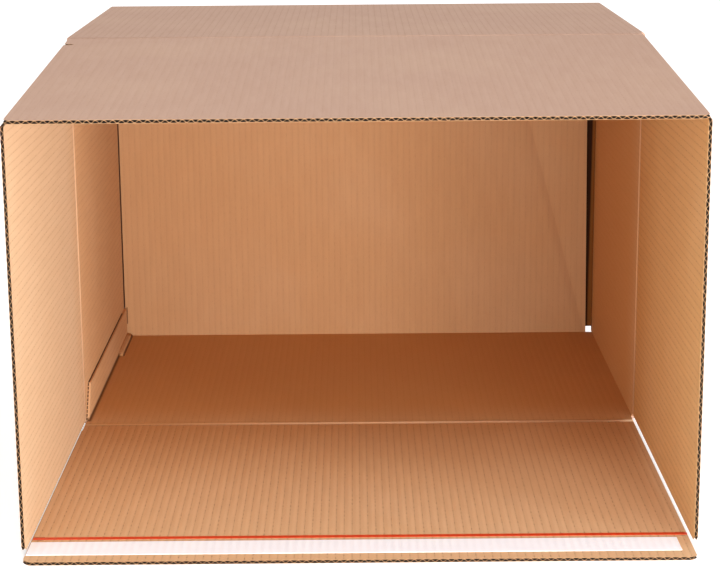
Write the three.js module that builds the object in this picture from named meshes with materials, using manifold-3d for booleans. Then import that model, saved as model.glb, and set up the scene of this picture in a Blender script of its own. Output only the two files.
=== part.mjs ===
// Crash lock box: a corrugated carton with a self-locking glued bottom, lying on a long wall.
// The mouth faces -Y with its four flaps open, and the bottom is at +Y. Lengths are in
// millimetres, +Z is up, and the origin is under the middle of the box, on the ground.
import * as THREE from 'three';
import { mergeVertices } from 'three/addons/utils/BufferGeometryUtils.js';
import Module from 'manifold-3d';

const wasm = await Module();
wasm.setup();

// Box size, inside
const innerWidth = 531;
const innerHeight = 369;
const innerDepth = 325;

// Corrugated board
const boardThickness = 3;
const flutePitch = 6.5;
const linerThickness = 0.55;
const mediumThickness = 0.5;

// Flaps at the mouth, reaching out from the innermost crease
const floorFlapReach = 366;
const topFlapReach = 358;
const leftFlapReach = 347;
const rightFlapReach = 342;
const topFlapDroop = 4.1;
const sideFlapTaper = 4.2;
const flapCornerCut = 4.5;
const slotSideClearance = 1;
const slotEndClearance = 3;
const tightSlotEndClearance = 0.8;
const slotDepth = 3.6;

// Crease gaps, and the steps that let the flaps lie over each other when shut
const creaseGap = 0.5;
const layerGap = 0.4;

// Seal on the floor flap: pull tape, release liner and their places from the flap's free edge
const tapeWidth = 5;
const tapeThickness = 0.2;
const linerStripWidth = 28;
const linerStripThickness = 0.4;
const freeMargin = 14;
const tapeToLinerGap = 6;
const linerRightMargin = 10;
const nickLength = 9;
const nickWidth = 0.9;

// Small torn nick in the top flap's left edge, near its crease
const tornNickLength = 9;
const tornNickWidth = 5;
const tornNickPlace = 31;

// Glue tab, inside the left wall
const tabHeight = 32;
const tabEndTaper = 22;
const tabBackGap = 1;

// Self-locking bottom
const bottomLayerGap = 0.3;
const seamHeight = 258;
const seamGap = 0.5;
const tongueStart = 5;
const tongueEnd = 150;
const tongueLength = 45;
const jogLength = 6;
const narrowEdgeGap = 1.5;
const wideEdgeGap = 7;
const wideEdgeGapAtSeam = 10;
const minorCreaseStart = 6;
const minorEdgeInset = 10;
const minorEdgeAngle = 15;
const lugEnd = 158;
const lugEdgeDrop = 16;
const lugFoldClearance = 5;

// Everything below follows from the values above.
const halfWidth = innerWidth / 2;
const step = boardThickness + layerGap;
const leftCrease = 0;
const rightCrease = leftCrease - step;
const topCrease = rightCrease - step;
const floorCrease = topCrease - step - linerStripThickness;
const flapHalfWidth = halfWidth - slotSideClearance;
const majorOuterFace = innerDepth + boardThickness;
const minorInnerFace = majorOuterFace + bottomLayerGap;
const minorOuterFace = minorInnerFace + boardThickness;
const beyond = 2 * boardThickness;

const kraft = new THREE.MeshStandardMaterial({ color: 0xc79b76, roughness: 0.9, metalness: 0 });
const redFilm = new THREE.MeshStandardMaterial({ color: 0xd83a1c, roughness: 0.45, metalness: 0 });
const whitePaper = new THREE.MeshStandardMaterial({ color: 0xf0ecee, roughness: 0.6, metalness: 0 });

// A flat outline pushed straight through: seen along X (y, z), along Y (x, z) or along Z (x, y).
const facing = {
  x: new THREE.Matrix4().set(0, 0, 1, 0, 1, 0, 0, 0, 0, 1, 0, 0, 0, 0, 0, 1),
  y: new THREE.Matrix4().set(1, 0, 0, 0, 0, 0, -1, 0, 0, 1, 0, 0, 0, 0, 0, 1),
  z: new THREE.Matrix4(),
};

function outline(points) {
  return new THREE.Shape(points.map(([a, b]) => new THREE.Vector2(a, b)));
}

function prism(axis, shape, from, to) {
  const geometry = new THREE.ExtrudeGeometry(shape, { depth: to - from, bevelEnabled: false });
  geometry.translate(0, 0, axis === 'y' ? -to : from);
  geometry.applyMatrix4(facing[axis]);
  return geometry;
}

// Boolean solids and back
function solid(geometry) {
  const plain = geometry.index ? geometry.toNonIndexed() : geometry.clone();
  plain.deleteAttribute('normal');
  plain.deleteAttribute('uv');
  const merged = mergeVertices(plain, 1e-4);
  return new wasm.Manifold(new wasm.Mesh({
    numProp: 3,
    vertProperties: new Float32Array(merged.attributes.position.array),
    triVerts: new Uint32Array(merged.index.array),
  }));
}

function block(x0, x1, y0, y1, z0, z1) {
  return solid(prism('z', outline([[x0, y0], [x1, y0], [x1, y1], [x0, y1]]), z0, z1));
}

function geometryOf(body) {
  const mesh = body.getMesh();
  const geometry = new THREE.BufferGeometry();
  geometry.setAttribute('position', new THREE.BufferAttribute(mesh.vertProperties.slice(), 3));
  geometry.setIndex(new THREE.BufferAttribute(mesh.triVerts.slice(), 1));
  geometry.computeVertexNormals();
  return geometry;
}

function joined(parts) {
  return parts.reduce((whole, part) => whole.add(part));
}

function named(name, body, material) {
  const mesh = new THREE.Mesh(geometryOf(body), material);
  mesh.name = name;
  return mesh;
}

// Half a turn about the box's long middle line swaps floor with top and right with left.
function halfTurn(body) {
  return body.rotate([0, 180, 0]).translate([0, 0, innerHeight]);
}

// Corrugated board lying flat: x across the flutes, y along them, z through the thickness.
// The liners are closed over by a zigzag medium, with the tubes open at both ends.
function corrugatedSheet(from, to, near, far, low) {
  const tubeHeight = boardThickness - 2 * linerThickness;
  const halfPitch = flutePitch / 2;
  const webWidth = mediumThickness * Math.hypot(halfPitch, tubeHeight) / tubeHeight;
  const halfBase = halfPitch - webWidth / 2;
  const rise = tubeHeight * halfBase / halfPitch;
  const count = Math.floor((to - from - 2 * mediumThickness - flutePitch) / halfPitch) + 1;
  const first = (from + to) / 2 - (count - 1) * halfPitch / 2;
  const tubes = [];
  for (let index = 0; index < count; index += 1) {
    const middle = first + index * halfPitch;
    const up = index % 2 === 0;
    const base = up ? low + linerThickness : low + boardThickness - linerThickness;
    const tip = up ? base + rise : base - rise;
    const section = outline([[middle - halfBase, base], [middle + halfBase, base], [middle, tip]]);
    tubes.push(solid(prism('y', section, near - beyond, far + beyond)));
  }
  return block(from, to, near, far, low, low + boardThickness).subtract(joined(tubes));
}

// Flap lying open along -Y from its crease at y = 0, its inner face at z = 0 and its board
// below that. `sides` gives the outline's two long edges as [x at crease, x at free edge].
function flapSheet(sides, reach) {
  const [[left, leftFree], [right, rightFree]] = sides;
  const board = corrugatedSheet(left, right, -reach, 0, -boardThickness);
  const cut = flapCornerCut;
  const plan = solid(prism('z', outline([
    [left, beyond],
    [leftFree, -reach + cut],
    [leftFree + cut, -reach],
    [rightFree - cut, -reach],
    [rightFree, -reach + cut],
    [right, beyond],
  ]), -beyond, beyond));
  const creaseEnd = -creaseGap / 2;
  const profile = solid(prism('x', outline([
    [creaseEnd, 0],
    [-reach - beyond, 0],
    [-reach - beyond, -boardThickness],
    [creaseEnd - boardThickness, -boardThickness],
  ]), -innerWidth, innerWidth));
  return board.intersect(plan).intersect(profile);
}

// Wall with its half of the locking bottom, seen as the floor wall: the wall, the major
// panel up to the seam, and the tongue that steps back behind the other major panel.
function majorSide(crease, seam) {
  const start = crease + creaseGap / 2;
  const bend = [];
  for (let turn = 0; turn <= 6; turn += 1) {
    const angle = turn * Math.PI / 12;
    bend.push([
      innerDepth + boardThickness * Math.cos(angle),
      -boardThickness * Math.sin(angle),
    ]);
  }
  const folded = solid(prism('x', outline([
    [start, 0],
    [innerDepth, 0],
    [innerDepth, seam],
    [majorOuterFace, seam],
    ...bend,
    [start + boardThickness, -boardThickness],
  ]), -halfWidth, halfWidth));
  const wideSide = solid(prism('y', outline([
    [halfWidth - wideEdgeGap, -beyond],
    [halfWidth + beyond, -beyond],
    [halfWidth + beyond, seam + beyond],
    [halfWidth - wideEdgeGapAtSeam, seam + beyond],
  ]), innerDepth, innerDepth + beyond));
  const narrowSide = block(-halfWidth - beyond, -halfWidth + narrowEdgeGap,
    innerDepth, innerDepth + beyond, -beyond, seam + beyond);
  const jogCut = block(tongueStart, tongueEnd,
    innerDepth - beyond, innerDepth + beyond, seam - jogLength, seam + beyond);
  const tongue = solid(prism('x', outline([
    [innerDepth, seam - 2 * jogLength],
    [innerDepth, seam - jogLength],
    [minorInnerFace, seam],
    [minorInnerFace, seam + tongueLength],
    [minorOuterFace, seam + tongueLength],
    [minorOuterFace, seam],
    [majorOuterFace, seam - jogLength],
    [majorOuterFace, seam - 2 * jogLength],
  ]), tongueStart, tongueEnd));
  return folded.subtract(wideSide).subtract(narrowSide).subtract(jogCut).add(tongue);
}

// Wall with its minor bottom panel, seen as the right wall: the panel's free edge leans in
// from the lower corner, and its lug is glued behind the upper major panel.
function minorSide(crease) {
  const start = crease + creaseGap / 2;
  const outerFace = halfWidth + boardThickness;
  const bend = [];
  for (let turn = 0; turn <= 6; turn += 1) {
    const angle = turn * Math.PI / 12;
    bend.push([
      halfWidth + boardThickness * Math.cos(angle),
      minorInnerFace + boardThickness * Math.sin(angle),
    ]);
  }
  const wall = solid(prism('z', outline([
    [halfWidth, start],
    [outerFace, start + boardThickness],
    ...bend,
  ]), 0, innerHeight));
  const lean = Math.tan(THREE.MathUtils.degToRad(minorEdgeAngle));
  const edgeFoot = halfWidth - minorEdgeInset;
  const foldDrop = (innerHeight - minorEdgeInset - minorCreaseStart) / (1 + lean);
  const foldHeight = minorCreaseStart + foldDrop;
  const foldAcross = edgeFoot - foldDrop * lean;
  const panel = solid(prism('y', outline([
    [halfWidth + boardThickness / 2, minorCreaseStart],
    [edgeFoot, minorCreaseStart],
    [foldAcross, foldHeight],
    [lugEnd, foldHeight + lugEdgeDrop],
    [lugEnd, innerHeight - 2 * lugFoldClearance],
    [halfWidth - lugFoldClearance, innerHeight - lugFoldClearance],
    [halfWidth + boardThickness / 2, innerHeight - lugFoldClearance],
  ]), minorInnerFace, minorOuterFace));
  return wall.add(panel);
}

// Folded edge between two walls, round outside and sharp inside, seen as the lower right one.
function foldedCorner() {
  const overlap = boardThickness;
  const bend = [];
  for (let turn = 0; turn <= 6; turn += 1) {
    const angle = -turn * Math.PI / 12;
    bend.push([
      halfWidth + boardThickness * Math.cos(angle),
      boardThickness * Math.sin(angle),
    ]);
  }
  return solid(prism('y', outline([
    [halfWidth - overlap, 0],
    [halfWidth - overlap, -boardThickness],
    ...bend.reverse(),
    [halfWidth + boardThickness, overlap],
    [halfWidth, overlap],
    [halfWidth, 0],
  ]), slotDepth, innerDepth));
}

// Slots between neighbouring flaps run a little way past the creases into the corners.
function cornerSlot(clearance) {
  return block(flapHalfWidth, halfWidth + beyond, floorCrease - beyond, slotDepth,
    -beyond, clearance);
}

function mirrored(body) {
  return body.mirror([1, 0, 0]);
}

const glueTab = solid(prism('x', outline([
  [slotDepth, -boardThickness / 2],
  [slotDepth, 0],
  [slotDepth + tabEndTaper, tabHeight],
  [innerDepth - tabBackGap, tabHeight],
  [innerDepth - tabBackGap, -boardThickness / 2],
]), -halfWidth - boardThickness / 2, -halfWidth + boardThickness));

const lowerRight = foldedCorner();
const lowerLeft = mirrored(foldedCorner());
const slot = cornerSlot(slotEndClearance);
const tightSlot = mirrored(cornerSlot(tightSlotEndClearance));

const cartonBody = joined([
  majorSide(floorCrease, seamHeight),
  halfTurn(majorSide(topCrease, innerHeight - seamHeight - seamGap)),
  minorSide(rightCrease),
  halfTurn(minorSide(leftCrease)),
  lowerRight,
  lowerLeft,
  halfTurn(lowerRight),
  halfTurn(lowerLeft),
  glueTab,
])
  .subtract(slot)
  .subtract(tightSlot)
  .subtract(halfTurn(slot))
  .subtract(halfTurn(mirrored(slot)));

// Floor flap with its tear nicks either side of the tape, at both ends.
const sealReach = floorFlapReach + floorCrease;
const linerNear = -sealReach + freeMargin;
const linerFar = linerNear + linerStripWidth;
const tapeNear = linerFar + tapeToLinerGap;
const tapeFar = tapeNear + tapeWidth;

function tearNick(from, to, along) {
  return block(from, to, along - nickWidth / 2, along + nickWidth / 2, -beyond, beyond);
}

const sealSheet = flapSheet([
  [-flapHalfWidth, -flapHalfWidth],
  [flapHalfWidth, flapHalfWidth],
], sealReach)
  .subtract(tearNick(-flapHalfWidth - beyond, -flapHalfWidth + nickLength, tapeNear - nickWidth))
  .subtract(tearNick(-flapHalfWidth - beyond, -flapHalfWidth + nickLength, tapeFar + nickWidth))
  .subtract(tearNick(flapHalfWidth - nickLength, flapHalfWidth + beyond, tapeNear - nickWidth))
  .subtract(tearNick(flapHalfWidth - nickLength, flapHalfWidth + beyond, tapeFar + nickWidth));

const tearTape = block(-flapHalfWidth, flapHalfWidth, tapeNear, tapeFar, 0, tapeThickness);
const releaseLiner = block(-flapHalfWidth, flapHalfWidth - linerRightMargin,
  linerNear, linerFar, 0, linerStripThickness);

const sealFlap = new THREE.Group();
sealFlap.position.set(0, floorCrease, 0);
sealFlap.add(named('seal_flap', sealSheet, kraft));
sealFlap.add(named('tear_tape', tearTape, redFilm));
sealFlap.add(named('release_liner', releaseLiner, whitePaper));

// Top flap, turned over so that its inner face looks down, sagging a little.
const tornNick = solid(prism('z', outline([
  [-flapHalfWidth - beyond, -tornNickPlace - tornNickWidth],
  [-flapHalfWidth + 0.7 * tornNickLength, -tornNickPlace - tornNickWidth],
  [-flapHalfWidth + tornNickLength, -tornNickPlace - 0.6 * tornNickWidth],
  [-flapHalfWidth + 0.7 * tornNickLength, -tornNickPlace],
  [-flapHalfWidth - beyond, -tornNickPlace],
]), -beyond, beyond));

const topSheet = flapSheet([
  [-flapHalfWidth, -flapHalfWidth],
  [flapHalfWidth, flapHalfWidth],
], topFlapReach + topCrease).subtract(tornNick).mirror([0, 0, 1]);

const topFlap = new THREE.Group();
topFlap.position.set(0, topCrease, innerHeight);
topFlap.rotation.x = THREE.MathUtils.degToRad(topFlapDroop);
topFlap.add(named('top_flap', topSheet, kraft));

// Side flaps stand on edge: the sheet's x runs up the box, from the slot to the slot.
function sideSheet(reach, clearance) {
  const height = innerHeight - slotEndClearance - clearance;
  const fall = reach * Math.tan(THREE.MathUtils.degToRad(sideFlapTaper));
  return flapSheet([[0, 0], [height, height - fall]], reach).rotate([0, -90, 0]);
}

const leftSheet = sideSheet(leftFlapReach + leftCrease, tightSlotEndClearance);
const leftFlap = new THREE.Group();
leftFlap.position.set(-halfWidth, leftCrease, tightSlotEndClearance);
leftFlap.add(named('left_flap', mirrored(leftSheet), kraft));

const rightSheet = sideSheet(rightFlapReach + rightCrease, slotEndClearance);
const rightFlap = new THREE.Group();
rightFlap.position.set(halfWidth, rightCrease, slotEndClearance);
rightFlap.add(named('right_flap', rightSheet, kraft));

// The carton as it lies, moved so that the ground is z = 0 and its length is centred on y = 0.
const box = new THREE.Group();
box.position.set(0, (floorFlapReach - minorOuterFace) / 2, boardThickness);
box.add(named('carton_body', cartonBody, kraft));
box.add(leftFlap);
box.add(rightFlap);
box.add(topFlap);
box.add(sealFlap);

const crashLockBox = new THREE.Group();
crashLockBox.name = 'crash_lock_box';
crashLockBox.add(box);

export default crashLockBox;
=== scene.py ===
import math
import bmesh
import bpy
from mathutils import Matrix, Vector


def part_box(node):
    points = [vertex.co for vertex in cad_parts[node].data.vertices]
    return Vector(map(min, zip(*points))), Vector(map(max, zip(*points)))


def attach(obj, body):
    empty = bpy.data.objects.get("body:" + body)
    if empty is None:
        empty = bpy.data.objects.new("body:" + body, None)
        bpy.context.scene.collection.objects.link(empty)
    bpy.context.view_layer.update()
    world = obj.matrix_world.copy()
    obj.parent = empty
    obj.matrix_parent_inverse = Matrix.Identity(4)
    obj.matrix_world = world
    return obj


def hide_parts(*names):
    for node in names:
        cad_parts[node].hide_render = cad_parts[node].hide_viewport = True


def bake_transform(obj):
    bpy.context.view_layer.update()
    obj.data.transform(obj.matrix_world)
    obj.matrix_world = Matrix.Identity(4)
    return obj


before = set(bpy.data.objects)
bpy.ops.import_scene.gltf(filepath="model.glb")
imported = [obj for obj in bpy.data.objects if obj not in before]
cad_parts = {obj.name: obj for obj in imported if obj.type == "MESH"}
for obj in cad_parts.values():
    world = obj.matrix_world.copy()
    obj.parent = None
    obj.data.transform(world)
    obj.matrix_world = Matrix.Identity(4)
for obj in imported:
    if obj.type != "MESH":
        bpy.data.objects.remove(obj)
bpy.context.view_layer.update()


# Camera, ground and light
# The box lies on a white paper sweep, lit softly from the camera's side, and the camera
# looks a little down into its mouth.

MM = 0.001
CAMERA_PLACE = Vector((-0.6, -1741.7, 554.3)) * MM
LOOK_DOWN = math.radians(13.3)
LOOK_RIGHT = math.radians(0.082)
CAMERA_ROLL = math.radians(0.449)
LENS = 94.66
SENSOR = 36
VIEW_END = 20
SWEEP_HALF = 6
SWEEP_LIFT = 0.3
ROOM_LIGHT = 0.91


def linear(code):
    """Linear colour, with alpha, of an sRGB hex code."""
    parts = [int(code[i:i + 2], 16) / 255 for i in (1, 3, 5)]
    return tuple(c / 12.92 if c <= 0.04045 else ((c + 0.055) / 1.055) ** 2.4 for c in parts) + (1,)


def node(tree, kind, inputs=(), **settings):
    """Add a node and its settings, then give its inputs values, or links from nodes or sockets."""
    made = tree.nodes.new("ShaderNode" + kind)
    for key, value in settings.items():
        setattr(made, key, value)
    given = inputs.items() if isinstance(inputs, dict) else enumerate(inputs)
    for socket, value in given:
        if isinstance(value, bpy.types.Node):
            value = value.outputs[0]
        if isinstance(value, bpy.types.NodeSocket):
            tree.links.new(value, made.inputs[socket])
        else:
            made.inputs[socket].default_value = value
    return made


def blank_material(name):
    """New material, its node tree and its shader's inputs."""
    made = bpy.data.materials.new(name)
    made.use_nodes = True
    return made, made.node_tree, made.node_tree.nodes["Principled BSDF"].inputs


def add_camera():
    forward = Vector((
        math.sin(LOOK_RIGHT) * math.cos(LOOK_DOWN),
        math.cos(LOOK_RIGHT) * math.cos(LOOK_DOWN),
        -math.sin(LOOK_DOWN)))
    right = Vector((math.cos(LOOK_RIGHT), -math.sin(LOOK_RIGHT), 0))
    down = forward.cross(right)
    across = math.cos(CAMERA_ROLL) * right + math.sin(CAMERA_ROLL) * down
    drop = -math.sin(CAMERA_ROLL) * right + math.cos(CAMERA_ROLL) * down
    camera = bpy.data.objects.new("camera", bpy.data.cameras.new("camera"))
    camera.data.lens = LENS
    camera.data.sensor_width = SENSOR
    camera.data.clip_end = VIEW_END
    camera.matrix_world = Matrix((
        (across.x, -drop.x, -forward.x, CAMERA_PLACE.x),
        (across.y, -drop.y, -forward.y, CAMERA_PLACE.y),
        (across.z, -drop.z, -forward.z, CAMERA_PLACE.z),
        (0, 0, 0, 1)))
    bpy.context.collection.objects.link(camera)
    bpy.context.scene.camera = camera


def add_softbox(name, place, target, size, power):
    lamp = bpy.data.lights.new(name, "AREA")
    lamp.shape = "RECTANGLE"
    lamp.size, lamp.size_y = size
    lamp.energy = power
    light = bpy.data.objects.new(name, lamp)
    light.location = place
    light.rotation_euler = (Vector(target) - Vector(place)).to_track_quat("-Z", "Y").to_euler()
    bpy.context.collection.objects.link(light)


def add_sweep():
    bm = bmesh.new()
    bmesh.ops.create_grid(bm, x_segments=1, y_segments=1, size=SWEEP_HALF)
    mesh = bpy.data.meshes.new("ground")
    bm.to_mesh(mesh)
    bm.free()
    # Photographer's paper, uncoated: matt, with a little glow so that it stays pure white.
    paper, tree, surface = blank_material("white_paper_sweep")
    surface["Base Color"].default_value = linear("#FDFDFD")
    surface["Roughness"].default_value = 0.9
    surface["Specular IOR Level"].default_value = 0.0
    surface["Emission Color"].default_value = linear("#FFFFFF")
    seen = node(tree, "LightPath").outputs["Is Camera Ray"]
    glow = node(tree, "Math", (seen, SWEEP_LIFT), operation="MULTIPLY")
    tree.links.new(glow.outputs[0], surface["Emission Strength"])
    mesh.materials.append(paper)
    ground = bpy.data.objects.new("ground", mesh)
    bpy.context.collection.objects.link(ground)


def add_room():
    world = bpy.data.worlds.new("white_room")
    world.use_nodes = True
    tree = world.node_tree
    background = tree.nodes["Background"].inputs
    background["Color"].default_value = linear("#FFFFFF")
    # The backdrop is full white; the light it gives is a little less.
    seen = node(tree, "LightPath").outputs["Is Camera Ray"]
    level = node(tree, "MapRange", (seen, 0, 1, ROOM_LIGHT, 1))
    tree.links.new(level.outputs[0], background["Strength"])
    bpy.context.scene.world = world


bpy.context.scene.view_settings.view_transform = "Standard"
add_camera()
add_sweep()
add_room()
add_softbox("key_softbox", (1.2, -2.8, 0.36), (-0.1, -0.1, 0.2), (1.0, 0.4), 27)
add_softbox("fill_softbox", (-1.3, -2.9, 0.36), (0.0, 0.0, 0.2), (1.2, 0.5), 24)
add_softbox("side_softbox", (1.6, -1.5, 0.2), (-0.26, -0.15, 0.2), (0.5, 0.3), 25)
add_softbox("low_softbox", (0.5, -1.6, 0.25), (0.0, -0.2, 0.0), (0.5, 0.25), 11)
add_softbox("high_softbox", (0.0, -1.0, 1.2), (0.0, -0.35, 0.0), (1.4, 0.3), 2)


# Carton body
# One sheet of brown corrugated board, folded and glued into a sleeve by a tab inside the
# left wall, with its bottom panels folded in and locked behind each other.

PITCH = 6.5 * MM
BOARD = 3.0 * MM
DEPTH = 325 * MM
BOTTOM_LAYER_GAP = 0.3 * MM
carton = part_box("carton_body")
HALF_WIDTH = carton[1][0] - BOARD
FLOOR = carton[0][2] + BOARD
CEILING = carton[1][2] - BOARD
BACK = carton[1][1] - 2 * BOARD - BOTTOM_LAYER_GAP
MOUTH = BACK - DEPTH

TAB_FACE = -HALF_WIDTH + BOARD
TAB_HEIGHT = 32 * MM
ROLL_START = BACK - 88 * MM
ROLL_END = BACK - 0.6 * MM
ROLL_SPAN = 5.2 * MM
PANEL_LEAN = math.tan(math.radians(15))
PANEL_INSET = 10 * MM
PANEL_FOOT = 6 * MM
GAP_AT_FLOOR = 6.2 * MM
GAP_NARROWING = 3.4 * MM
GAP_SHADOW = 2.4 * MM
FULL_DEEP = MOUTH + 60 * MM

# Liner tones. The deep tones are painted shade, for the darker inside of the box.
INNER_KRAFT = "#D6AC82"
DEEP_SHADE_KRAFT = "#CE9F72"
WARM_SHADE_KRAFT = "#CA9154"
OUTER_KRAFT = "#C4A08C"


def paint(tree, colour, mask, tone, strength=1):
    """The colour turned to a tone as far as a mask times a strength says."""
    factor = node(tree, "Math", (mask, strength), operation="MULTIPLY")
    return node(tree, "Mix", {0: factor, 6: colour, 7: linear(tone)}, data_type="RGBA").outputs[2]


def between(tree, value, low, high):
    """1 where the value lies between low and high, and 0 elsewhere."""
    above = node(tree, "Math", (value, low), operation="GREATER_THAN")
    below = node(tree, "Math", (value, high), operation="LESS_THAN")
    return every(tree, above, below)


def every(tree, *masks):
    """1 only where all the masks are 1."""
    result = masks[0]
    for mask in masks[1:]:
        result = node(tree, "Math", (result, mask), operation="MULTIPLY")
    return result


def flute_lines(tree, place, facing, across):
    """Coordinates across and along the flutes, and 1 on panels that look along y. On a folded
    carton the face's direction tells which way across is."""
    x, y, z = place
    if across == "x":
        return x, y, 0
    if across == "z":
        return z, y, 0
    off_x = node(tree, "Math", (facing[0],), operation="ABSOLUTE")
    off_y = node(tree, "Math", (facing[1],), operation="ABSOLUTE")
    sideways = node(tree, "Math", (off_x, 0.6), operation="GREATER_THAN")
    depthways = node(tree, "Math", (off_y, 0.6), operation="GREATER_THAN")
    run = node(tree, "Mix", {0: sideways, 2: x, 3: z}).outputs[0]
    along = node(tree, "Mix", {0: depthways, 2: y, 3: z}).outputs[0]
    return run, along, depthways


def kraft_board(name, near_tone, deep_shade_tone, across="either", press=0.55, fade=110 * MM,
                inside=None, marks=None):
    """Kraft liner over fluted board. The tone turns from near to deep at the mouth, starting
    fade in front of it: painted shade, darker deeper in the box and towards the flaps' creases.
    across is the axis that crosses the flutes, and press how dark their tips show. inside is a
    rule for faces in the box, and marks adds one piece's own painted shade and light."""
    material, tree, surface = blank_material(name)
    coordinates = node(tree, "TexCoord").outputs
    object_place = coordinates["Object"]
    place = node(tree, "SeparateXYZ", (object_place,)).outputs
    facing = node(tree, "SeparateXYZ", (coordinates["Normal"],)).outputs
    run, along, depthways = flute_lines(tree, place, facing, across)
    # Flute tips press on the liner once each pitch, 6.5 mm.
    turn = node(tree, "Math", (run, 2 * math.pi / PITCH), operation="MULTIPLY")
    wave = node(tree, "Math", (turn,), operation="COSINE")
    rib = node(tree, "Math", (wave, 0.5, 0.5), operation="MULTIPLY_ADD")
    # The paper's streaks lie along the flutes, about 6 mm wide. Its fibres are drawn 0.7 mm
    # wide, coarser than real ones, so that they show.
    along_slow = node(tree, "Math", (along, 0.12), operation="MULTIPLY")
    up_slow = node(tree, "Math", (place[2], 0.05), operation="MULTIPLY")
    grain_place = node(tree, "CombineXYZ", (run, along_slow, up_slow))
    streaks = node(tree, "TexNoise", {
        "Vector": grain_place, "Scale": 170, "Detail": 4, "Roughness": 0.6})
    fibres = node(tree, "TexNoise", {
        "Vector": grain_place, "Scale": 1500, "Detail": 2, "Roughness": 0.7})
    # Blotches are about 11 cm across and dark flecks 1.4 mm.
    blotches = node(tree, "TexNoise", {
        "Vector": object_place, "Scale": 9, "Detail": 3, "Roughness": 0.5})
    flecks = node(tree, "TexNoise", {
        "Vector": object_place, "Scale": 700, "Detail": 2, "Roughness": 0.6})
    # Painted shade: the near tone turns to the deep tone deeper in the box.
    depth = node(tree, "MapRange", (place[1], MOUTH - fade, FULL_DEEP),
                 interpolation_type="SMOOTHSTEP")
    colour = paint(tree, linear(near_tone), depth, deep_shade_tone)
    if inside is not None:
        indoors = inside(tree, place)
        colour = node(tree, "Mix", {0: indoors, 6: linear(OUTER_KRAFT), 7: colour},
                      data_type="RGBA").outputs[2]
    dark = node(tree, "Math", (streaks, 0.3, -0.1), operation="MULTIPLY_ADD", use_clamp=True)
    colour = paint(tree, colour, dark, "#9B6942")
    light = node(tree, "Math", (blotches, 0.45), operation="SUBTRACT", use_clamp=True)
    colour = paint(tree, colour, light, "#E5C5A6", 0.35)
    speck = node(tree, "Math", (flecks, 0.68), operation="GREATER_THAN")
    colour = paint(tree, colour, speck, "#815535", 0.12)
    # Dark line along each flute tip, broken into dashes about 1 pitch wide and 5 mm long, and
    # weaker on the bottom panels.
    crest = node(tree, "Math", (rib, 60), operation="POWER")
    dash_place = node(tree, "CombineXYZ", (
        node(tree, "Math", (run, 1 / PITCH), operation="MULTIPLY"),
        node(tree, "Math", (along, 210), operation="MULTIPLY")))
    dashes = node(tree, "TexNoise", {
        "Vector": dash_place, "Scale": 1, "Detail": 3, "Roughness": 0.7})
    over = node(tree, "Math", (dashes, 0.46), operation="SUBTRACT", use_clamp=True)
    broken = node(tree, "Math", (over, 6), operation="MULTIPLY", use_clamp=True)
    calm = node(tree, "Math", (depthways, -0.6, 1), operation="MULTIPLY_ADD")
    colour = paint(tree, colour, every(tree, crest, broken, calm), "#7C4D2F", press)
    soft = node(tree, "Math", (rib, 3), operation="POWER")
    colour = paint(tree, colour, soft, "#95653F", 0.09 * press)
    if marks is not None:
        colour = marks(tree, colour, place, facing)
    tree.links.new(colour, surface["Base Color"])
    rough = node(tree, "Math", (fibres, 0.2, 0.74), operation="MULTIPLY_ADD")
    tree.links.new(rough.outputs[0], surface["Roughness"])
    surface["Specular IOR Level"].default_value = 0.22
    dips = node(tree, "Math", (rib, -0.5), operation="MULTIPLY")
    height = node(tree, "Math", (fibres, 0.35, dips), operation="MULTIPLY_ADD")
    bump = node(tree, "Bump", {"Height": height, "Strength": 0.5, "Distance": 0.22 * MM})
    tree.links.new(bump.outputs[0], surface["Normal"])
    return material


def body_inside(tree, place):
    """1 on faces in the box, 0 on its outside. The inset leaves the inner liner's thickness."""
    x, y, z = place
    inset = 0.4 * MM
    off = node(tree, "Math", (x,), operation="ABSOLUTE")
    wide = node(tree, "Math", (off, HALF_WIDTH + inset), operation="LESS_THAN")
    deep = node(tree, "Math", (y, BACK + inset), operation="LESS_THAN")
    return every(tree, wide, deep, between(tree, z, FLOOR - inset, CEILING + inset))


def shaded_faces(tree, colour, place, facing):
    """Painted shade on the floor and the right wall, which face away from the light: darker and
    warmer deeper in the box.
    """
    x, y, z = place
    right = node(tree, "Math", (facing[0], -0.6), operation="LESS_THAN")
    upward = node(tree, "Math", (facing[2], 0.6), operation="GREATER_THAN")
    low = node(tree, "Math", (z, FLOOR + 1 * MM), operation="LESS_THAN")
    either = node(tree, "Math", (right, every(tree, upward, low)), operation="MAXIMUM")
    depth = node(tree, "MapRange", (y, MOUTH - 40 * MM, FULL_DEEP),
                 interpolation_type="SMOOTHSTEP")
    mask = every(tree, either, between(tree, y, MOUTH - 20 * MM, BACK + 0.2 * MM), depth,
                 body_inside(tree, place))
    return paint(tree, colour, mask, "#C88A4A", 0.62)


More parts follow.
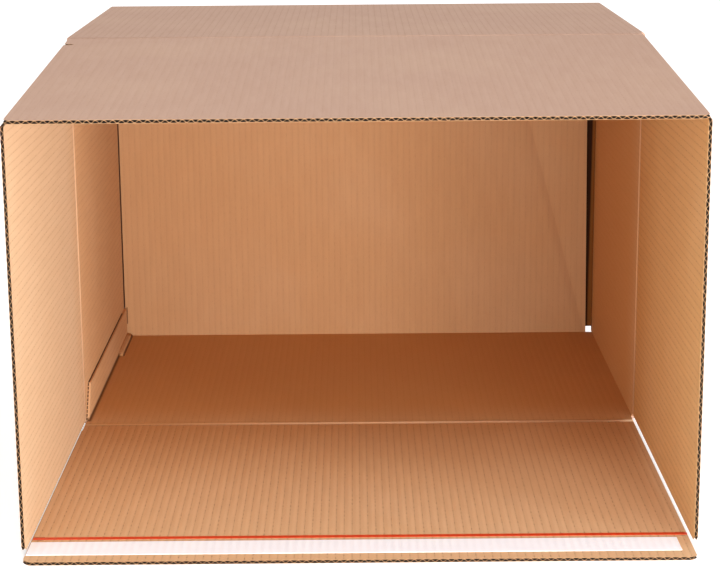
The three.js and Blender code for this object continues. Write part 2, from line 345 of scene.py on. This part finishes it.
def tab_edge_shade(tree, colour, place, facing):
    """The glue tab's cut edges in painted shade: a dark slit along its top for the shadowed gap
    beside the wall, and open flutes at its slanted front end, painted dark between pale webs."""
    x, y, z = place
    on_tab = every(tree, between(tree, x, -HALF_WIDTH - 0.2 * MM, TAB_FACE + 0.1 * MM),
                   between(tree, y, MOUTH + 3 * MM, BACK - 0.5 * MM),
                   between(tree, z, FLOOR + 0.3 * MM, FLOOR + TAB_HEIGHT + 0.4 * MM))
    top = every(tree, on_tab,
                node(tree, "Math", (facing[2], 0.9), operation="GREATER_THAN"),
                node(tree, "Math", (x, -HALF_WIDTH + 1.5 * MM), operation="LESS_THAN"),
                node(tree, "Math", (y, BACK - 24 * MM), operation="LESS_THAN"))
    turn = node(tree, "Math", (z, 4 * math.pi / PITCH), operation="MULTIPLY")
    web = node(tree, "Math", (turn,), operation="SINE")
    front = every(tree, on_tab,
                  node(tree, "Math", (facing[1], -0.4), operation="LESS_THAN"),
                  node(tree, "Math", (web, -0.75), operation="GREATER_THAN"),
                  node(tree, "Math", (x, -HALF_WIDTH + 1.3 * MM), operation="LESS_THAN"))
    either = node(tree, "Math", (top, front), operation="MAXIMUM")
    return paint(tree, colour, either, "#422412", 0.88)


def tab_fold(tree, colour, place):
    """Painted shade along the fold where the tab turns up from the floor, and a painted shadow at
    its rolled stretch.
    """
    x, y, z = place
    beside = node(tree, "Math", (x, TAB_FACE), operation="SUBTRACT")
    beside = node(tree, "Math", (beside,), operation="ABSOLUTE")
    above = node(tree, "Math", (z, FLOOR), operation="SUBTRACT")
    away = node(tree, "Math", (beside, above), operation="MAXIMUM")
    near = node(tree, "MapRange", (away, 0.8 * MM, 3.2 * MM, 1, 0),
                interpolation_type="SMOOTHSTEP")
    fold = every(tree, near, between(tree, y, MOUTH, ROLL_START + 6 * MM),
                 between(tree, z, FLOOR - 0.1 * MM, FLOOR + 8 * MM))
    foot = TAB_FACE + ROLL_SPAN
    shadow = every(tree, between(tree, x, foot - 0.3 * MM, foot + 1.3 * MM),
                   between(tree, y, ROLL_START, BACK),
                   between(tree, z, FLOOR - 0.1 * MM, FLOOR + 2 * MM))
    either = node(tree, "Math", (fold, shadow), operation="MAXIMUM")
    return paint(tree, colour, either, "#592F12", 0.8)


def panel_edge(tree, colour, place):
    """The minor panel's leaning edge, pressing through the back panel: painted light just past it
    and painted shade just before it, a step in tone.
    """
    x, y, z = place
    lean = node(tree, "Math", (z, PANEL_LEAN, -(FLOOR + PANEL_FOOT) * PANEL_LEAN),
                operation="MULTIPLY_ADD")
    line = node(tree, "Math", (x, lean), operation="ADD")
    edge = HALF_WIDTH - PANEL_INSET
    on_back = every(tree, between(tree, y, BACK - 0.3 * MM, BACK + 0.3 * MM),
                    node(tree, "Math", (z, FLOOR), operation="GREATER_THAN"))
    past = node(tree, "MapRange", (line, edge - 3 * MM, edge + 5 * MM),
                interpolation_type="SMOOTHSTEP")
    colour = paint(tree, colour, every(tree, on_back, past), "#EDC495", 0.1)
    before = node(tree, "MapRange", (line, edge - 12 * MM, edge - 3 * MM),
                  interpolation_type="SMOOTHSTEP")
    short = node(tree, "Math", (line, edge - 0.5 * MM), operation="LESS_THAN")
    return paint(tree, colour, every(tree, on_back, before, short), "#955930", 0.1)


def right_gap_shade(tree, colour, place):
    """Painted shade in the gap beside the back panel: brown, and nearly black as a painted shadow
    along the panel's edge, which leans a little."""
    x, y, z = place
    gap = every(tree, between(tree, x, HALF_WIDTH - 20 * MM, HALF_WIDTH + 0.2 * MM),
                between(tree, y, BACK + 0.3 * MM, BACK + 5 * MM),
                between(tree, z, FLOOR, CEILING))
    colour = paint(tree, colour, gap, "#8A5320")
    lean = GAP_NARROWING / (CEILING - FLOOR)
    panel = node(tree, "Math", (z, lean, HALF_WIDTH - GAP_AT_FLOOR - FLOOR * lean),
                 operation="MULTIPLY_ADD")
    past = node(tree, "Math", (x, panel), operation="SUBTRACT")
    near = node(tree, "MapRange", (past, 0, GAP_SHADOW, 1, 0), interpolation_type="SMOOTHSTEP")
    return paint(tree, colour, every(tree, near, gap), "#271003", 0.95)


def left_gap(tree, colour, place):
    """Shadow in the narrow gap at the back's left, beside the wall and beside the tab."""
    x, y, z = place
    deep = between(tree, y, BACK - 0.4 * MM, BACK + 6 * MM)
    wall = every(tree, between(tree, x, -HALF_WIDTH - 0.2 * MM, -HALF_WIDTH + 1.5 * MM), deep,
                 between(tree, z, FLOOR + TAB_HEIGHT, CEILING))
    tab = every(tree, between(tree, x, TAB_FACE - 0.1 * MM, TAB_FACE + 1.1 * MM), deep,
                between(tree, z, FLOOR + 14 * MM, FLOOR + TAB_HEIGHT + 1 * MM))
    either = node(tree, "Math", (wall, tab), operation="MAXIMUM")
    return paint(tree, colour, either, "#552D12", 0.8)


def body_marks(tree, colour, place, facing):
    colour = shaded_faces(tree, colour, place, facing)
    colour = tab_edge_shade(tree, colour, place, facing)
    colour = tab_fold(tree, colour, place)
    colour = panel_edge(tree, colour, place)
    colour = right_gap_shade(tree, colour, place)
    return left_gap(tree, colour, place)


# Uncoated brown kraft liner, laid over flutes: matt, streaked along them and faintly ribbed.
# Its colour also holds painted shade on the floor, the right wall, the tab, the folds and the gaps,
# and painted light beside the back panel's hidden edge.
body_board = kraft_board("carton_kraft", INNER_KRAFT, DEEP_SHADE_KRAFT, inside=body_inside,
                         marks=body_marks)
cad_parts["carton_body"].data.materials.clear()
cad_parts["carton_body"].data.materials.append(body_board)


# Rolled fold
# Near the back the glue tab's fold has rolled over instead of creasing sharply: a soft bead
# of the same board along the floor's left edge.

ROLL_HEIGHT = 3.0 * MM
ROLL_SKIN = 0.35 * MM
ROLL_ARC_STEPS = 8
ROLL_STATIONS = (0.10, 0.3, 0.6, 0.85, 1.0)
ROLL_SWELL = 0.05
ROLL_SWELL_TURN = 9
ROLL_RISE_START = 0.12
ROLL_RISE = 5


def rolled_fold():
    bm = bmesh.new()
    profile = []
    for i in range(ROLL_ARC_STEPS + 1):
        angle = math.pi / 2 * i / ROLL_ARC_STEPS
        profile.append((TAB_FACE + ROLL_SPAN * math.sin(angle),
                        FLOOR + ROLL_HEIGHT * math.cos(angle)))
    verts = [bm.verts.new((x, ROLL_START, z)) for x, z in profile]
    edges = [bm.edges.new(pair) for pair in zip(verts, verts[1:])]
    for part in ROLL_STATIONS:
        drawn = bmesh.ops.extrude_edge_only(bm, edges=edges)["geom"]
        moved = [v for v in drawn if isinstance(v, bmesh.types.BMVert)]
        edges = [e for e in drawn if isinstance(e, bmesh.types.BMEdge)
                 and all(v in moved for v in e.verts)]
        for vert in moved:
            vert.co.y = ROLL_START + (ROLL_END - ROLL_START) * part
    # The bead rises from the crease within a fifth of its length and swells unevenly.
    for vert in bm.verts:
        part = (vert.co.y - ROLL_START) / (ROLL_END - ROLL_START)
        rise = min(1.0, ROLL_RISE_START + part * ROLL_RISE)
        swell = 1 + ROLL_SWELL * math.sin(part * ROLL_SWELL_TURN)
        vert.co.x = TAB_FACE + (vert.co.x - TAB_FACE) * swell
        vert.co.z = FLOOR + (vert.co.z - FLOOR) * swell * rise
    bmesh.ops.recalc_face_normals(bm, faces=bm.faces)
    bmesh.ops.solidify(bm, geom=bm.faces, thickness=ROLL_SKIN)
    mesh = bpy.data.meshes.new("tab_fold_roll")
    bm.to_mesh(mesh)
    bm.free()
    for face in mesh.polygons:
        face.use_smooth = True
    mesh.materials.append(body_board)
    roll = bpy.data.objects.new("tab_fold_roll", mesh)
    bpy.context.collection.objects.link(roll)
    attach(roll, "carton")


rolled_fold()


# Flaps
# Four flaps of the same sheet, open at their creases: two outer liners over a waved medium,
# cut square so that the flutes' ends show all along the free edges.

LINER = 0.2 * MM
MEDIUM = 0.42 * MM
PITCH_STEPS = 10
PRESSED_RIB = 0.045 * MM
# Finer than any step of the mesh, to tell the end faces from the rest.
HAIR = 0.01 * MM
CORNER_CUT = 4.5 * MM
SLOPE_END = 4 * MM
LINER_FACE, CUT_FACE, FLUTE_FACE, OUTSIDE_FACE = range(4)


def mesh_object(name, bm, materials):
    bmesh.ops.recalc_face_normals(bm, faces=bm.faces)
    mesh = bpy.data.meshes.new(name)
    bm.to_mesh(mesh)
    bm.free()
    for material in materials:
        mesh.materials.append(material)
    piece = bpy.data.objects.new(name, mesh)
    bpy.context.collection.objects.link(piece)
    return piece


def layer(bm, stations, low, thick, near, far, hidden, skin=LINER_FACE):
    """A thin sheet: a profile across the flutes, thickened, then drawn along them. hidden
    names the sides that face the flutes' insides: low, high or both. skin is the material
    of the other side."""
    known = set(bm.faces)
    verts = [bm.verts.new((s, far(s), low(s))) for s in stations]
    edges = [bm.edges.new(pair) for pair in zip(verts, verts[1:])]
    raised = bmesh.ops.extrude_edge_only(bm, edges=edges)["geom"]
    tops = [v for v in raised if isinstance(v, bmesh.types.BMVert)]
    bmesh.ops.translate(bm, verts=tops, vec=(0, 0, thick))
    strip = [f for f in raised if isinstance(f, bmesh.types.BMFace)]
    drawn = bmesh.ops.extrude_face_region(bm, geom=strip, use_keep_orig=True)["geom"]
    for vert in (v for v in drawn if isinstance(v, bmesh.types.BMVert)):
        vert.co.y = near(vert.co.x)
    for face in bm.faces:
        if face not in known:
            middle = face.calc_center_median()
            side = "high" if middle.z > low(middle.x) + thick / 2 else "low"
            face.material_index = FLUTE_FACE if hidden in (side, "both") else skin
            if not stations[0] + HAIR < middle.x < stations[-1] - HAIR:
                face.material_index = CUT_FACE
    for face in strip:
        face.material_index = CUT_FACE


def flap_board(name, spans, placing, materials):
    """Corrugated flap in its own frame: x across the flutes, y out from the crease (negative),
    inner face at z = 0. Each span is (left, right, near, far), near and far giving y at x."""
    middle = -(BOARD + MEDIUM) / 2
    swing = (BOARD - 2 * LINER - MEDIUM) / 2

    def wave(s):
        return math.cos(2 * math.pi * s / PITCH)

    def pressed(s):
        return PRESSED_RIB * (1 + wave(s))

    bm = bmesh.new()
    for left, right, near, far in spans:
        count = max(2, int((right - left) / PITCH * PITCH_STEPS))
        stations = [left + (right - left) * i / count for i in range(count + 1)]
        layer(bm, stations, lambda s: -LINER - pressed(s), LINER, near, far, "low")
        layer(bm, stations, lambda s: -BOARD + pressed(s), LINER, near, far, "high", OUTSIDE_FACE)
        layer(bm, stations, lambda s: middle - swing * wave(s), MEDIUM, near, far, "both")
    bmesh.ops.transform(bm, matrix=placing, verts=bm.verts)
    return mesh_object(name, bm, materials)


def at(value):
    """Edge that lies at one y all along."""
    return lambda s: value


def rounded_free_edge(left, right, reach):
    """Straight free edge with its two corners taken off."""
    return lambda s: -reach + max(0.0, CORNER_CUT - min(s - left, right - s))


def side_free_edge(height, free_height, reach):
    """Free edge of a side flap, with its lower corner taken off. The upper edge slopes down
    to it from a point near the crease."""
    def far(s):
        if s > free_height:
            slope = (height - s) / (height - free_height)
            return min(-SLOPE_END, -reach * slope)
        return -reach + max(0.0, CORNER_CUT - s)
    return far


def nick_lip(start, end):
    """One lip of the top flap's nick, straight at y = start for most of its length and then
    turning to its tip, at y = end."""
    def lip(s):
        inward = (s + FLAP_HALF) / NICK
        return start + (end - start) * max(0.0, (inward - NICK_OPEN) / (1 - NICK_OPEN))
    return lip


def side_flap(name, reach, slot, placing, board):
    height = CEILING - FLOOR - SLOT - slot
    free_edge = side_free_edge(height, height - reach * TAPER, reach)
    return flap_board(name, [(0, height, CREASE_END, free_edge)], placing,
                      (board, cut_edge, medium_paper, outer_z))


# Cut edge of the liners, die-cut and a little torn: paler than the face, rough and mottled
# at about 1 mm.
cut_edge, tree, surface = blank_material("kraft_cut_edge")
place = node(tree, "TexCoord").outputs["Object"]
grain = node(tree, "TexNoise", {"Vector": place, "Scale": 900, "Detail": 3})
tree.links.new(paint(tree, linear("#B8906A"), grain, "#B98A5E", 0.6), surface["Base Color"])
surface["Roughness"].default_value = 0.95
surface["Specular IOR Level"].default_value = 0.1

# Fluting medium, brown paper pressed into waves: dull, and painted dark as shade, since no light
# reaches in.
medium_paper, tree, surface = blank_material("fluting_medium")
place = node(tree, "TexCoord").outputs["Object"]
grain = node(tree, "TexNoise", {"Vector": place, "Scale": 700, "Detail": 3})
tree.links.new(paint(tree, linear("#3C2418"), grain, "#25150D", 0.7), surface["Base Color"])
surface["Roughness"].default_value = 0.95

# Uncoated kraft, laid on outside, greyer and smoother than the inner liner.
outer_x = kraft_board("outer_kraft_flutes_along_y", OUTER_KRAFT, OUTER_KRAFT, "x", 0.2)
outer_z = kraft_board("outer_kraft_side_flaps", OUTER_KRAFT, OUTER_KRAFT, "z", 0.2)
# Uncoated kraft, laid on inside, warmer and with its ribs showing. Each flap has its own
# tone of painted light and shade, for the way it faces the light, and painted shade near its
# crease.
top_board = kraft_board("top_flap_kraft", INNER_KRAFT, DEEP_SHADE_KRAFT, "x", 0.5)
floor_board = kraft_board("seal_flap_kraft", "#DDB389", "#C48C58", "x", 0.95, 250 * MM)
left_board = kraft_board("left_flap_kraft", "#D2B08C", DEEP_SHADE_KRAFT, "z", 0.8, 60 * MM)
right_board = kraft_board("right_flap_kraft", "#DAAB74", WARM_SHADE_KRAFT, "z", 0.8, 150 * MM)

# Each crease lies one board and a gap further out than the one before, in the order of
# shutting, so that the shut flaps lie over each other. The last also leaves room for the
# release liner.
LAYER_STEP = BOARD + 0.4 * MM
RELEASE_THICKNESS = 0.4 * MM
LEFT_CREASE = MOUTH
RIGHT_CREASE = LEFT_CREASE - LAYER_STEP
TOP_CREASE = RIGHT_CREASE - LAYER_STEP
FLOOR_CREASE = TOP_CREASE - LAYER_STEP - RELEASE_THICKNESS
CREASE_END = at(-3.6 * MM)
FLAP_HALF = HALF_WIDTH - 1 * MM
SLOT = 3 * MM
TIGHT_SLOT = 0.8 * MM
DROOP = math.radians(4.1)
TAPER = math.tan(math.radians(4.2))
LEFT_REACH = 347 * MM - (MOUTH - LEFT_CREASE)
RIGHT_REACH = 342 * MM - (MOUTH - RIGHT_CREASE)
TOP_REACH = 358 * MM - (MOUTH - TOP_CREASE)
SEAL_REACH = FLOOR_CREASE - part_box("seal_flap")[0][1]

# From a flap's own frame to its place on the box. The side flaps stand on edge.
face_down = Matrix.Scale(-1, 4, Vector((0, 0, 1)))
mirrored = Matrix.Scale(-1, 4, Vector((1, 0, 0)))
on_edge = Matrix(((0, 0, -1, 0), (0, 1, 0, 0), (1, 0, 0, 0), (0, 0, 0, 1)))
place_seal = Matrix.Translation((0, FLOOR_CREASE, FLOOR))
place_crease = Matrix.Translation((0, TOP_CREASE, CEILING))
place_top = place_crease @ Matrix.Rotation(DROOP, 4, "X") @ face_down
place_right = Matrix.Translation((HALF_WIDTH, RIGHT_CREASE, FLOOR + SLOT)) @ on_edge
place_left = Matrix.Translation((-HALF_WIDTH, LEFT_CREASE, FLOOR + TIGHT_SLOT)) @ mirrored @ on_edge

# The floor flap is nicked either side of the tear tape, at both ends.
NICK = 9 * MM
SLIT = 0.9 * MM
TAPE_WIDTH = 5 * MM
FREE_MARGIN = 14 * MM
LINER_WIDTH = 28 * MM
TAPE_GAP = 6 * MM
tape_outer = -SEAL_REACH + FREE_MARGIN + LINER_WIDTH + TAPE_GAP
tape_inner = tape_outer + TAPE_WIDTH
seal_edge = rounded_free_edge(-FLAP_HALF, FLAP_HALF, SEAL_REACH)
seal_spans = [(-FLAP_HALF + NICK, FLAP_HALF - NICK, CREASE_END, seal_edge)]
for left, right in ((-FLAP_HALF, -FLAP_HALF + NICK), (FLAP_HALF - NICK, FLAP_HALF)):
    seal_spans.append((left, right, at(tape_outer - 1.5 * SLIT), seal_edge))
    seal_spans.append((left, right, at(tape_inner + 0.5 * SLIT), at(tape_outer - 0.5 * SLIT)))
    seal_spans.append((left, right, CREASE_END, at(tape_inner + 1.5 * SLIT)))
# Its left edge lies close against the side flap, but for a sliver near the crease.
CLOSE_EDGE = 0.8 * MM
CLOSE_START = 18 * MM
CLOSE_STOP = 6 * MM
seal_spans.append((-FLAP_HALF - CLOSE_EDGE, -FLAP_HALF, at(-CLOSE_START),
                   at(-SEAL_REACH + CLOSE_STOP)))
seal_flap = flap_board("seal_flap_board", seal_spans, place_seal,
                       (floor_board, cut_edge, medium_paper, outer_x))

# The top flap has a small torn nick in its left edge, near the crease.
NICK_START = -31 * MM
NICK_END = -36 * MM
NICK_TIP = -34 * MM
NICK_OPEN = 0.7
top_edge = rounded_free_edge(-FLAP_HALF, FLAP_HALF, TOP_REACH)
top_flap = flap_board("top_flap_board", (
    (-FLAP_HALF + NICK, FLAP_HALF, CREASE_END, top_edge),
    (-FLAP_HALF, -FLAP_HALF + NICK, CREASE_END, nick_lip(NICK_START, NICK_TIP)),
    (-FLAP_HALF, -FLAP_HALF + NICK, nick_lip(NICK_END, NICK_TIP), top_edge),
), place_top, (top_board, cut_edge, medium_paper, outer_x))

left_flap = side_flap("left_flap_board", LEFT_REACH, TIGHT_SLOT, place_left, left_board)
right_flap = side_flap("right_flap_board", RIGHT_REACH, SLOT, place_right, right_board)

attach(seal_flap, "seal_outer_flap")
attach(top_flap, "top_outer_flap")
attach(left_flap, "left_side_flap")
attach(right_flap, "right_side_flap")
for piece, plain_flap in ((seal_flap, "seal_flap"), (top_flap, "top_flap"),
                          (left_flap, "left_flap"), (right_flap, "right_flap")):
    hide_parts(plain_flap)


# Creases
# Along each crease the board is crushed to a line: a shallow groove outside and a raised
# bead inside, still one sheet with the wall and the flap.

CREASE_REACH = 4.2 * MM
CREASE_STEPS = 24
CREASE_PROUD = 0.04 * MM
CREASE_SUNK = 0.06 * MM
BEAD_HEIGHT = 0.45 * MM
BEAD_WIDTH = 2.2 * MM
BEAD_HALF = 3.2 * MM
GROOVE_DEPTH = 0.9 * MM
GROOVE_WIDTH = 1.5 * MM
INNER_FACE, BEAD_FACE, OUTER_FACE = range(3)
# Faces whose middle lies below this are outer kraft. It is just above the board's middle, so
# that the strip's long edges are too.
OUTER_BELOW = 0.1 * MM - BOARD / 2

# Kraft liner, stretched over the crease's bead: painted paler as a highlight along the bead, with
# hardly a rib.
bead_highlight_kraft = kraft_board("bead_highlight_kraft", "#F2D2AE", "#EBC094", press=0.1)


def crease_line(y, level, height, width):
    """Height at y of a board face with a bump of a width along the crease."""
    return level + height * math.exp(-(y / width) ** 2)


def crease_strip(name, length, placing, inner, outer):
    """Board across a crease, from x = length[0] to length[1] in the flap's frame, lying
    between the wall and the flap, put in place by placing."""
    ys = [CREASE_REACH * (1 - 2 * i / CREASE_STEPS) for i in range(CREASE_STEPS + 1)]
    profile = [(y, crease_line(y, CREASE_PROUD, BEAD_HEIGHT, BEAD_WIDTH)) for y in ys]
    profile += [(-y, crease_line(y, CREASE_SUNK - BOARD, GROOVE_DEPTH, GROOVE_WIDTH)) for y in ys]
    bm = bmesh.new()
    section = bm.faces.new([bm.verts.new((length[0], y, z)) for y, z in profile])
    drawn = bmesh.ops.extrude_face_region(bm, geom=[section], use_keep_orig=True)["geom"]
    for vert in (v for v in drawn if isinstance(v, bmesh.types.BMVert)):
        vert.co.x = length[1]
    for face in bm.faces:
        middle = face.calc_center_median()
        if middle.z < OUTER_BELOW:
            face.material_index = OUTER_FACE
        elif len(face.verts) == 4 and abs(middle.y) < BEAD_HALF:
            face.material_index = BEAD_FACE
    bmesh.ops.transform(bm, matrix=placing, verts=bm.verts)
    strip = mesh_object(name, bm, (inner, bead_highlight_kraft, outer))
    for face in strip.data.polygons:
        face.use_smooth = len(face.vertices) == 4
    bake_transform(strip)


full_width = (-FLAP_HALF, FLAP_HALF)
crease_strip("floor_crease", full_width, place_seal,
             floor_board, outer_x)
crease_strip("top_crease", full_width, place_crease @ face_down,
             top_board, outer_x)
crease_strip("left_crease", (0, CEILING - FLOOR - SLOT - TIGHT_SLOT), place_left,
             left_board, outer_z)
crease_strip("right_crease", (0, CEILING - FLOOR - 2 * SLOT), place_right,
             right_board, outer_z)


# Seal strip
# Along the floor flap's free edge: a red plastic tear tape stuck to the board, and nearer
# the edge a white release liner over the adhesive.

# Polypropylene film, extruded: slightly glossy, with the flutes showing through as ribs.
film, tree, surface = blank_material("red_tear_film")
place = node(tree, "TexCoord").outputs["Object"]
across = node(tree, "SeparateXYZ", (place,))
turn = node(tree, "Math", (across, 2 * math.pi / PITCH), operation="MULTIPLY")
wave = node(tree, "Math", (turn,), operation="SINE")
grain = node(tree, "TexNoise", {"Vector": place, "Scale": 260, "Detail": 3})
tree.links.new(paint(tree, linear("#E23E0C"), grain, "#B8280E", 0.45), surface["Base Color"])
rough = node(tree, "Math", (grain, 0.25, 0.25), operation="MULTIPLY_ADD")
tree.links.new(rough.outputs[0], surface["Roughness"])
height = node(tree, "Math", (grain, 0.8, wave), operation="MULTIPLY_ADD")
bump = node(tree, "Bump", {"Height": height, "Strength": 0.5, "Distance": 0.2 * MM})
tree.links.new(bump.outputs[0], surface["Normal"])

# Siliconised paper, calendered: white and smooth, faintly ribbed and a little creased. The
# glow is the light that passes through it.
release, tree, surface = blank_material("white_release_liner")
place = node(tree, "TexCoord").outputs["Object"]
across = node(tree, "SeparateXYZ", (place,))
turn = node(tree, "Math", (across, 2 * math.pi / PITCH), operation="MULTIPLY")
wave = node(tree, "Math", (turn,), operation="SINE")
creases = node(tree, "TexNoise", {"Vector": place, "Scale": 45, "Detail": 5, "Roughness": 0.6})
tree.links.new(paint(tree, linear("#FAFBFF"), creases, "#EFEFFA", 0.3), surface["Base Color"])
surface["Roughness"].default_value = 0.6
surface["Specular IOR Level"].default_value = 0.08
surface["Emission Color"].default_value = linear("#D8DEFF")
surface["Emission Strength"].default_value = 0.07
ribs = node(tree, "Math", (wave, 0.5), operation="MULTIPLY")
height = node(tree, "Math", (creases, 1.5, ribs), operation="MULTIPLY_ADD")
bump = node(tree, "Bump", {"Height": height, "Strength": 0.4, "Distance": 0.3 * MM})
tree.links.new(bump.outputs[0], surface["Normal"])

for name, material in (("tear_tape", film), ("release_liner", release)):
    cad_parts[name].data.materials.clear()
    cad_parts[name].data.materials.append(material)
